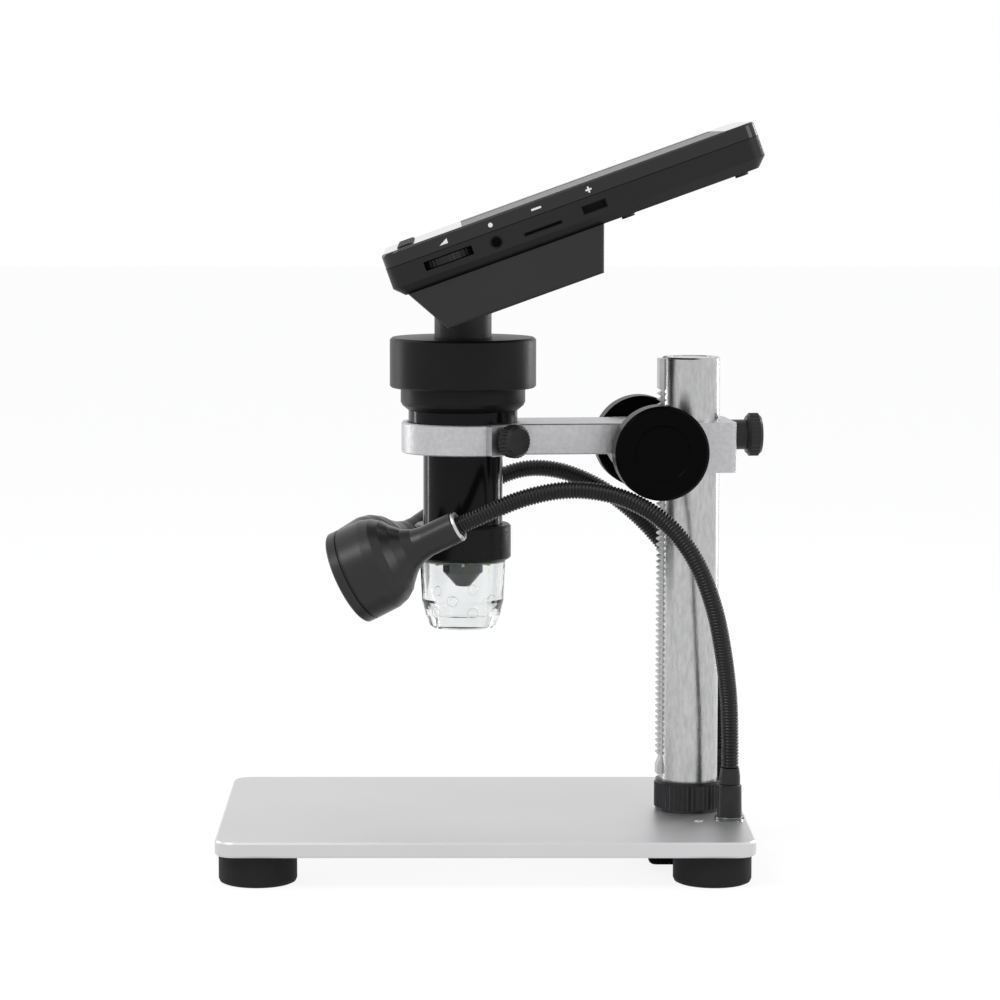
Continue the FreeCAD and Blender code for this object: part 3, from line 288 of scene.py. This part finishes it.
drawn = Finish("drawn_aluminium", Metallic=1.0)
drawn_lines = drawn.noise(1100, 3, (1, 1, 0.02))
drawn_cloud = drawn.noise(60, 3)
drawn_pits = drawn.noise(800, 5, (1, 1, 0.3))
drawn.set(Base_Color=drawn.between(drawn_pits, (0.34, 0.34, 0.35), (0.62, 0.62, 0.62)),
          Roughness=drawn_lines * 0.12 + drawn_cloud * 0.08 + 0.16,
          Normal=drawn.bumps(drawn_pits * 0.7 + drawn_lines * 0.3, 0.0001, 0.5))
dress(drawn, "column_tube", "column_cap")
toothed = Finish("milled_rack", Metallic=1.0)
tooth_marks = toothed.noise(700, 3, (1, 0.1, 1))
toothed.set(Base_Color=toothed.between(tooth_marks, (0.34, 0.34, 0.35), (0.55, 0.55, 0.55)),
            Roughness=tooth_marks * 0.2 + 0.22)
dress(toothed, "rack")


# Collar, lamp sockets, swivels and hand screws: turned aluminium, knurled where fingers hold it.
# Black anodised, with the dye a little uneven.

anodised = Finish("black_anodised", Metallic=0.3, Specular_IOR_Level=0.3)
anodised_cloud = anodised.noise(400, 3)
anodised.set(Base_Color=anodised.between(anodised_cloud, (0.012, 0.012, 0.013), (0.026, 0.026, 0.028)),
             Roughness=anodised_cloud * 0.16 + 0.28,
             Normal=anodised.bumps(anodised.noise(2400, 2), 0.00003, 0.4))
dress(anodised, "column_collar", "lamp_socket_near", "lamp_socket_far", "swivel_near", "swivel_far",
      "lock_screw", "ring_screw", "case_screws")


# Carriage and arm: machined aluminium, bolted together and satin finished, so the cutter's marks are gone.
# The flat sides keep a faint grain along the arm.

satin = Finish("satin_aluminium", Metallic=1.0)
satin_grain = satin.noise(1500, 3, (0.25, 1, 1))
satin_cloud = satin.noise(22, 3)
satin_pits = satin.noise(650, 5)
satin.set(Base_Color=satin.between(satin_pits.math("MULTIPLY_ADD", satin_pits, 0.8, satin_cloud * 0.2),
                                   (0.37, 0.37, 0.38), (0.62, 0.62, 0.63)),
          Roughness=satin_grain * 0.15 + 0.33, Normal=satin.bumps(satin_pits, 0.00012, 0.5))
dress(satin, "carriage_block", "ring_arm")


# Focus knobs: black mouldings pressed on the pinion shaft, with a shallow dished face.
# Their skin is smooth and glossy.

knob_black = moulded("knob_moulding", (0.0012, 0.0012, 0.0013), (0.0022, 0.0022, 0.0024), 0.03, 0.2,
                     1200, 0.00002)
dress(knob_black, "focus_knob_near", "focus_knob_far")


# Tube and lens: a gloss black barrel held in the ring, with a moulded cuff over its lower end.
# The lens cell slides inside it, and carries one small coated lens at its tip.

barrel = moulded("gloss_barrel", (0.002, 0.002, 0.0024), (0.004, 0.004, 0.0046), 0.13, 0.08, 800, 0.00001)
dress(barrel, "body_tube")
cuff_plastic = moulded("cuff_moulding", (0.004, 0.004, 0.0044), (0.008, 0.008, 0.0086), 0.14, 0.22)
dress(cuff_plastic, "guard_cuff", "lens_cell")
coated = Finish("coated_lens", Roughness=0.02, Transmission_Weight=0.6, IOR=1.6)
coated.set(Base_Color=coated.between(coated.noise(300), (0.2, 0.16, 0.42), (0.12, 0.3, 0.4)))
dress(coated, "front_lens")


# Clear guard: a moulded cup that keeps the lens off the specimen, open at its foot.
# It is slightly smoky, and its wall is a little wavy, as such mouldings are.

clear = Finish("clear_moulding", Roughness=0.04, IOR=1.46, Transmission_Weight=1.0)
clear_waves = clear.noise(90, 2)
clear.set(Base_Color=clear.between(clear_waves, (0.86, 0.87, 0.87), (0.95, 0.96, 0.96)),
          Normal=clear.bumps(clear_waves, 0.0006, 0.35))
dress(clear, "clear_guard", "socket_washers")


def finished(obj, name):
    """The evaluated object as a plain mesh object, with the old one removed."""
    bpy.context.view_layer.update()
    graph = bpy.context.evaluated_depsgraph_get()
    mesh = bpy.data.meshes.new_from_object(obj.evaluated_get(graph))
    mesh.name = name
    made = bpy.data.objects.new(name, mesh)
    scene.collection.objects.link(made)
    bpy.data.objects.remove(obj)
    return made


class Pattern(Tree):
    """Geometry Nodes on a source object, with named inputs."""

    def __init__(self, name, source):
        group = bpy.data.node_groups.new(name, "GeometryNodeTree")
        super().__init__(group)
        group.interface.new_socket("Geometry", in_out="INPUT", socket_type="NodeSocketGeometry")
        group.interface.new_socket("Geometry", in_out="OUTPUT", socket_type="NodeSocketGeometry")
        self.entry = group.nodes.new("NodeGroupInput")
        self.modifier = source.modifiers.new(name, "NODES")
        self.modifier.node_group = group
        self.source = source

    def size(self, label, value):
        """A named input of the tree, set on the modifier by its identifier."""
        kind = "NodeSocketInt" if isinstance(value, int) else "NodeSocketFloat"
        socket = self.tree.interface.new_socket(label, in_out="INPUT", socket_type=kind)
        socket.default_value = value
        self.modifier[socket.identifier] = value
        return Sum(self, [item for item in self.entry.outputs if item.identifier == socket.identifier][0])

    def given(self):
        return Sum(self, self.entry.outputs[0])

    def make(self, geometry, finish, name):
        real = self.node("GeometryNodeRealizeInstances", None, [geometry])[0]
        painted = self.node("GeometryNodeSetMaterial", None, {0: real, 2: finish.material})[0]
        self.node("NodeGroupOutput", None, [painted])
        return finished(self.source, name)


def lathe(name, profile, spot, direction, finish, body, sides=72):
    """A closed ring or disc turned from a profile of radius and distance along the direction."""
    build = bmesh.new()
    rings = []
    for radius, along in profile:
        if radius == 0:
            rings.append([build.verts.new((0, 0, along))])
            continue
        rings.append([build.verts.new((radius * math.cos(2 * math.pi * step / sides),
                                       radius * math.sin(2 * math.pi * step / sides), along))
                      for step in range(sides)])
    for near, far in zip(rings, rings[1:] + rings[:1]):
        for step in range(sides):
            corners = [near[step % len(near)], near[(step + 1) % len(near)],
                       far[(step + 1) % len(far)], far[step % len(far)]]
            corners = [corner for index, corner in enumerate(corners) if corner not in corners[:index]]
            if len(corners) > 2:
                build.faces.new(corners)
    bmesh.ops.recalc_face_normals(build, faces=build.faces)
    turn = Vector(direction).to_track_quat("Z", "Y").to_matrix().to_4x4()
    bmesh.ops.transform(build, matrix=Matrix.Translation(spot) @ turn, verts=build.verts)
    mesh = bpy.data.meshes.new(name)
    build.to_mesh(mesh)
    build.free()
    mesh.shade_smooth()
    mesh.set_sharp_from_angle(angle=math.radians(35))
    made = bpy.data.objects.new(name, mesh)
    scene.collection.objects.link(made)
    mesh.materials.append(finish.material)
    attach(made, body)
    return made


# Ring of lights under the tube: eight small emitters on their board, seen through the guard.
# Each is a square package faced with yellow phosphor.

tube_low, tube_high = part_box("body_tube")
axis_x, axis_y = ((low + high) / 2 for low, high in zip(tube_low[:2], tube_high[:2]))
light_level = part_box("guard_light_board")[0][2]
phosphor = Finish("phosphor", Roughness=0.3)
phosphor.set(Base_Color=phosphor.between(phosphor.noise(2500), (0.8, 0.72, 0.3), (0.9, 0.85, 0.5)))
emitter_source = bpy.data.objects.new("emitters", bpy.data.meshes.new("emitters"))
scene.collection.objects.link(emitter_source)
emitters = Pattern("ring_of_emitters", emitter_source)
emitter_size = (0.0022, 0.0022, 0.0009)
emitter_count = emitters.size("Emitters", 8)
emitter_reach = emitters.size("Ring Radius", 0.0121)
emitter_ring = emitters.node("GeometryNodeCurvePrimitiveCircle", {"mode": "RADIUS"},
                             {"Resolution": emitter_count, "Radius": emitter_reach})[0]
emitter_spots = emitters.node("GeometryNodeCurveToPoints", {"mode": "EVALUATED"}, [emitter_ring])
emitter_box = emitters.node("GeometryNodeMeshCube", None, [emitter_size])[0]
emitter_set = emitters.node("GeometryNodeInstanceOnPoints", None, {
    "Points": emitter_spots[0], "Instance": emitter_box, "Rotation": emitter_spots[3]})[0]
emitter_place = (axis_x, axis_y, light_level - emitter_size[2] / 2)
emitter_low = emitters.node("GeometryNodeTransform", None,
                            {"Geometry": emitter_set, "Translation": emitter_place})[0]
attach(emitters.make(emitter_low, phosphor, "ring_emitters"), "head")


# Dimples in the clear guard: two rows of shallow round rims moulded into its wall.
# Six stand round the guard in each row, the lower row turned by half a step.

DIMPLE_ROWS = (("upper", 0.01465, 0.0792, 0.25), ("lower", 0.0136, 0.0747, 0.78))
for row, dimple_reach, dimple_level, dimple_turn in DIMPLE_ROWS:
    dimple_source = bpy.data.objects.new("dimples_" + row, bpy.data.meshes.new("dimples_" + row))
    scene.collection.objects.link(dimple_source)
    dimples = Pattern("guard_dimples_" + row, dimple_source)
    dimple_count = dimples.size("Dimples", 6)
    row_reach = dimples.size("Reach", dimple_reach)
    dimple_ring = dimples.node("GeometryNodeCurvePrimitiveCircle", {"mode": "RADIUS"},
                               {"Resolution": dimple_count, "Radius": row_reach})[0]
    dimple_spots = dimples.node("GeometryNodeCurveToPoints", {"mode": "EVALUATED"}, [dimple_ring])[0]
    dimple_line = dimples.node("GeometryNodeCurvePrimitiveCircle", {"mode": "RADIUS"},
                               {"Resolution": 28, "Radius": dimples.size("Dimple Radius", 0.0019)})[0]
    dimple_bead = dimples.node("GeometryNodeCurvePrimitiveCircle", {"mode": "RADIUS"},
                               {"Resolution": 8, "Radius": dimples.size("Bead Radius", 0.00013)})[0]
    dimple_rim = dimples.node("GeometryNodeCurveToMesh", None, [dimple_line, dimple_bead])[0]
    outwards = dimples.node("FunctionNodeAlignRotationToVector", {"axis": "Z"},
                            {"Vector": dimples.node("GeometryNodeInputPosition")[0]})[0]
    dimple_set = dimples.node("GeometryNodeInstanceOnPoints", None,
                              {"Points": dimple_spots, "Instance": dimple_rim, "Rotation": outwards})[0]
    dimple_place = dimples.node("GeometryNodeTransform", None, {
        "Geometry": dimple_set, "Translation": (axis_x, axis_y, dimple_level),
        "Rotation": (0, 0, dimple_turn)})[0]
    dimple_smooth = dimples.node("GeometryNodeSetShadeSmooth", None, {0: dimple_place})[0]
    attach(dimples.make(dimple_smooth, clear, "guard_dimples_" + row), "head")


# Focus ring: turned aluminium, bead-blasted and black anodised.
# The big ring and its lower step are one piece.

ring_skin = Finish("blasted_black", Metallic=0.35, Specular_IOR_Level=0.16)
ring_grain = ring_skin.noise(2200, 3)
ring_cloud = ring_skin.noise(30, 3)
ring_skin.set(Base_Color=ring_skin.between(ring_cloud, (0.006, 0.006, 0.0065), (0.012, 0.012, 0.013)),
              Roughness=ring_grain * 0.15 + 0.3, Normal=ring_skin.bumps(ring_grain, 0.00004, 0.5))
dress(ring_skin, "focus_ring")


# Display: a front shell in black round the glass, a textured back shell, and the battery's box below.
# The ends of the front are polished, and its long sides are matt. A groove marks where the shells meet.

bezel_gloss = moulded("bezel_gloss", (0.006, 0.006, 0.0065), (0.009, 0.009, 0.0095), 0.4, 0.16, 600, 0.00001)
bezel_along = bezel_gloss.node("ShaderNodeSeparateXYZ", None, [bezel_gloss.place])[0]
bezel_low_end, bezel_high_end = -0.0084, 0.0829
bezel_ends = (bezel_along < bezel_low_end) + (bezel_along > bezel_high_end)
bezel_gloss.set(Roughness=0.34 - bezel_ends * 0.28)
dress(bezel_gloss, "display_bezel")
shell_grain = moulded("shell_moulding", (0.01, 0.01, 0.0105), (0.016, 0.016, 0.0165), 0.2, 0.36)
dress(shell_grain, "display_case", "dimmer_wheel", "button_1", "button_2", "button_3", "button_4", "button_5")
box_grain = moulded("box_moulding", (0.014, 0.014, 0.0145), (0.021, 0.021, 0.0215), 0.28, 0.4)
dress(box_grain, "rear_box", "neck_post")
screen = Finish("screen_cover", IOR=1.5, Transmission_Weight=0.8, Specular_IOR_Level=0.2)
screen_haze = screen.noise(2500, 2)
screen.set(Base_Color=screen.between(screen_haze, (0.05, 0.05, 0.055), (0.08, 0.08, 0.085)),
           Roughness=screen_haze * 0.2 + 0.25)
dress(screen, "screen_glass")
panel = Finish("dark_panel", Roughness=0.25)
panel.set(Base_Color=panel.between(panel.noise(9), (0.008, 0.009, 0.012), (0.014, 0.015, 0.02)))
dress(panel, "lcd_panel")


# Groove between the two shells: a fine near-black line of painted shade, swept round the rounded outline of
# the display.
# It stands about a tenth of a millimetre proud, because the two shells share one face there.

slope = math.radians(19.85)
display_place = Matrix.Translation((-0.036584, -0.007234, 0.204)) @ Matrix.Rotation(-slope, 4, "Y")
groove_corner = 0.006
groove_depth = 0.0052
groove_line = bpy.data.curves.new("groove_line", "CURVE")
groove_line.dimensions = "3D"
groove_spline = groove_line.splines.new("POLY")
corner_arcs = []
corner_centres = ((0.1317, 0.036), (0.006, 0.036), (0.006, -0.036), (0.1317, -0.036))
for quarter, (centre_x, centre_y) in enumerate(corner_centres):
    for part in range(7):
        angle = math.radians(90 * quarter + 15 * part)
        corner_arcs.append((centre_x + groove_corner * math.cos(angle),
                            centre_y + groove_corner * math.sin(angle), -groove_depth))
groove_spline.points.add(len(corner_arcs) - 1)
for point, place in zip(groove_spline.points, corner_arcs):
    point.co = (*(display_place @ Vector(place)), 1)
groove_spline.use_cyclic_u = True
groove_source = bpy.data.objects.new("shell_groove", groove_line)
scene.collection.objects.link(groove_source)
groove = Pattern("shell_groove", groove_source)
groove_section = groove.node("GeometryNodeCurvePrimitiveCircle", {"mode": "RADIUS"},
                             {"Resolution": 8, "Radius": groove.size("Groove Half Width", 0.00011)})[0]
groove_skin = groove.node("GeometryNodeCurveToMesh", None, [groove.given(), groove_section])[0]
# The line's near-black colour is painted shade standing for the shadow inside the groove between the shells.
groove_painted_shade = Finish("groove_shadow", Specular_IOR_Level=0.05)
groove_cloud = groove_painted_shade.noise(500)
groove_painted_shade.set(Base_Color=groove_painted_shade.between(groove_cloud, (0.001, 0.001, 0.001), (0.003, 0.003, 0.003)),
                 Roughness=groove_painted_shade.noise(900) * 0.2 + 0.6)
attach(groove.make(groove_skin, groove_painted_shade, "shell_groove"), "head")


# Ports in the near wall: steel shells set back behind their holes, coloured near black as painted shade for
# the dark inside the ports.
# Small raised marks of white ink stand over them: a wedge, a dot, a bar and a plus.

# The sockets' near-black colour is painted shade standing for the shadow deep in the port recesses.
port_painted_shade = Finish("port_steel_painted_shade", Metallic=0.6, Specular_IOR_Level=0.2)
port_cloud = port_painted_shade.noise(900, 2)
port_painted_shade.set(Base_Color=port_painted_shade.between(port_cloud, (0.006, 0.006, 0.006), (0.02, 0.02, 0.021)),
              Roughness=port_cloud * 0.2 + 0.4)
dress(port_painted_shade, "port_sockets")
ink = Finish("white_ink", Roughness=0.5)
ink.set(Base_Color=ink.between(ink.noise(2500), (0.7, 0.7, 0.7), (0.85, 0.85, 0.85)))
circle = [(math.cos(turn * math.pi / 16), math.sin(turn * math.pi / 16)) for turn in range(32)]
mark_drop = 2.9
mark_faces = (-0.04206, -0.0419)
for mark, along, outline in (
        ("wedge", 22.0, [(-1.6, -0.8), (1.6, -0.8), (1.6, 0.9)]),
        ("dot", 39.5, [(0.8 * x, 0.8 * y) for x, y in circle]),
        ("bar", 56.4, [(-1.8, -0.35), (1.8, -0.35), (1.8, 0.35), (-1.8, 0.35)]),
        ("plus", 75.7, [(-1.1, -0.3), (-0.3, -0.3), (-0.3, -1.1), (0.3, -1.1), (0.3, -0.3), (1.1, -0.3),
                        (1.1, 0.3), (0.3, 0.3), (0.3, 1.1), (-0.3, 1.1), (-0.3, 0.3), (-1.1, 0.3)])):
    build = bmesh.new()
    rows = [[build.verts.new(((along + x) / 1000, level, (y - mark_drop) / 1000)) for x, y in outline]
            for level in mark_faces]
    build.faces.new(rows[0])
    build.faces.new(rows[1])
    for step in range(len(outline)):
        following = (step + 1) % len(outline)
        build.faces.new([rows[0][step], rows[0][following], rows[1][following], rows[1][step]])
    bmesh.ops.recalc_face_normals(build, faces=build.faces)
    bmesh.ops.transform(build, matrix=display_place, verts=build.verts)
    mark_mesh = bpy.data.meshes.new("mark_" + mark)
    build.to_mesh(mark_mesh)
    build.free()
    mark_mesh.materials.append(ink.material)
    mark_piece = bpy.data.objects.new("mark_" + mark, mark_mesh)
    scene.collection.objects.link(mark_piece)
    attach(mark_piece, "head")


# Cover screws: two small pan heads with a socket, through the plate into the wiring cover's bosses.
# Plain steel, standing half a millimetre above the stage.

cover_screw_place = 0.0773
cover_screw_profile = [(0, 0.0001), (0.0008, 0.0001), (0.0008, 0.0005), (0.0013, 0.0005), (0.0017, 0.0003),
                       (0.0017, -0.0003), (0, -0.0003)]
for side, across in (("near", -0.0247), ("far", 0.0247)):
    lathe("cover_screw_" + side, cover_screw_profile, (cover_screw_place, across, 0), (0, 0, 1), steel,
          "base", 32)


# Goosenecks: a wound steel core in a black sleeve whose close ribs follow every bend.
# Each runs from its swivel behind the column over the arm to the stem of its lamp.

sleeve_black = Finish("ribbed_sleeve", Specular_IOR_Level=0.3)
sleeve_cloud = sleeve_black.noise(250, 3)
sleeve_colour = sleeve_black.between(sleeve_cloud, (0.003, 0.003, 0.0033), (0.008, 0.008, 0.0085))
sleeve_black.set(Base_Color=sleeve_colour, Roughness=sleeve_cloud * 0.15 + 0.2)
NECK_ROUTES = {
    "near": [(88.5, -21.9, 19), (88.5, -21.9, 31), (87.6, -25.5, 46), (85.2, -31.5, 62), (81.6, -37, 79),
             (74.6, -40.6, 97), (63.6, -42, 110.8), (48.6, -43, 119.4), (31.5, -43.6, 122.3),
             (15.5, -43.7, 119.7), (0.7, -42.42, 113.58), (-9.8, -40, 108.3)],
    "far": [(88.5, 21.9, 19), (88.5, 21.9, 31), (87.2, 25.5, 46), (84, 31.5, 62), (78, 36.5, 79),
            (68, 40.5, 93.5), (56, 44, 106), (42, 48.5, 115.5), (26, 52.5, 121), (10.5, 55.5, 119.6),
            (-6.24, 55.13, 109.05), (-15, 49, 103.6)],
}
steps_a_rib = 6
for name, route in NECK_ROUTES.items():
    line = bpy.data.curves.new("neck_line_" + name, "CURVE")
    line.dimensions = "3D"
    spline = line.splines.new("NURBS")
    spline.points.add(len(route) - 1)
    for point, (x, y, z) in zip(spline.points, route):
        point.co = (x / 1000, y / 1000, z / 1000, 1)
    spline.order_u = 3
    spline.use_endpoint_u = True
    spline.resolution_u = 12
    neck_source = bpy.data.objects.new("neck_" + name, line)
    scene.collection.objects.link(neck_source)
    neck = Pattern("ribbed_neck_" + name, neck_source)
    ribs = neck.size("Ribs", 150)
    depth = neck.size("Rib Depth", 0.00055)
    ring_count = ribs * steps_a_rib + 1
    rings = neck.node("GeometryNodeResampleCurve", None, {"Curve": neck.given(), "Count": ring_count})[0]
    step = neck.node("GeometryNodeInputIndex")[0]
    wave = step.math("ABSOLUTE", step.math("SINE", step * (math.pi / steps_a_rib)))
    reach = neck.size("Radius", 0.0032) - depth * (1 - wave)
    section = neck.node("GeometryNodeCurvePrimitiveCircle", None, {"Resolution": 18, "Radius": 1.0})[0]
    skin = neck.node("GeometryNodeCurveToMesh", None, {"Curve": rings, "Profile Curve": section,
                                                       "Scale": reach, "Fill Caps": True})[0]
    smooth = neck.node("GeometryNodeSetShadeSmooth", None, {0: skin})[0]
    ribbed = neck.make(smooth, sleeve_black, "ribbed_neck_" + name)
    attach(ribbed, "lamp_" + name)
    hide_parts("gooseneck_" + name)


# Lamps: a moulded bell on a short stem, with a frosted lens behind its rim and a mirror-bright cup inside.
# A thin bright ring closes the stem where the neck goes in.

bell_black = moulded("lamp_moulding", (0.006, 0.006, 0.0066), (0.011, 0.011, 0.0118), 0.4, 0.24)
dress(bell_black, "lamp_shell_near", "lamp_shell_far")
frosted = Finish("frosted_lens", Roughness=0.35, IOR=1.45, Transmission_Weight=0.7)
frosted.set(Base_Color=frosted.between(frosted.noise(200), (0.85, 0.85, 0.8), (0.93, 0.93, 0.9)),
            Normal=frosted.bumps(frosted.noise(900, 2), 0.0002, 0.6))
dress(frosted, "lamp_lens_near", "lamp_lens_far")
rim_metal = Finish("bright_rim", Metallic=1.0)
rim_metal.set(Base_Color=rim_metal.between(rim_metal.noise(900), (0.5, 0.5, 0.5), (0.68, 0.68, 0.68)),
              Roughness=rim_metal.noise(400) * 0.15 + 0.2)
stem_ring_profile = [(0.0043, 0.0001), (0.0043, -0.0009), (0.0052, -0.0009), (0.0055, -0.0004),
                     (0.0055, 0.0001)]
reflector_profile = [(0.0072, 0.0278), (0.0148, 0.0395), (0.0143, 0.0395), (0.0068, 0.0285)]
for name, end, direction in (
        ("near", (-0.0098, -0.040, 0.1083), (-0.87503, 0.20202, -0.43994)),
        ("far", (-0.015, 0.049, 0.1036), (-0.72987, -0.51106, -0.45399))):
    lathe("stem_ring_" + name, stem_ring_profile, end, direction, rim_metal, "lamp_" + name)
    lathe("reflector_" + name, reflector_profile, end, direction, rim_metal, "lamp_" + name)
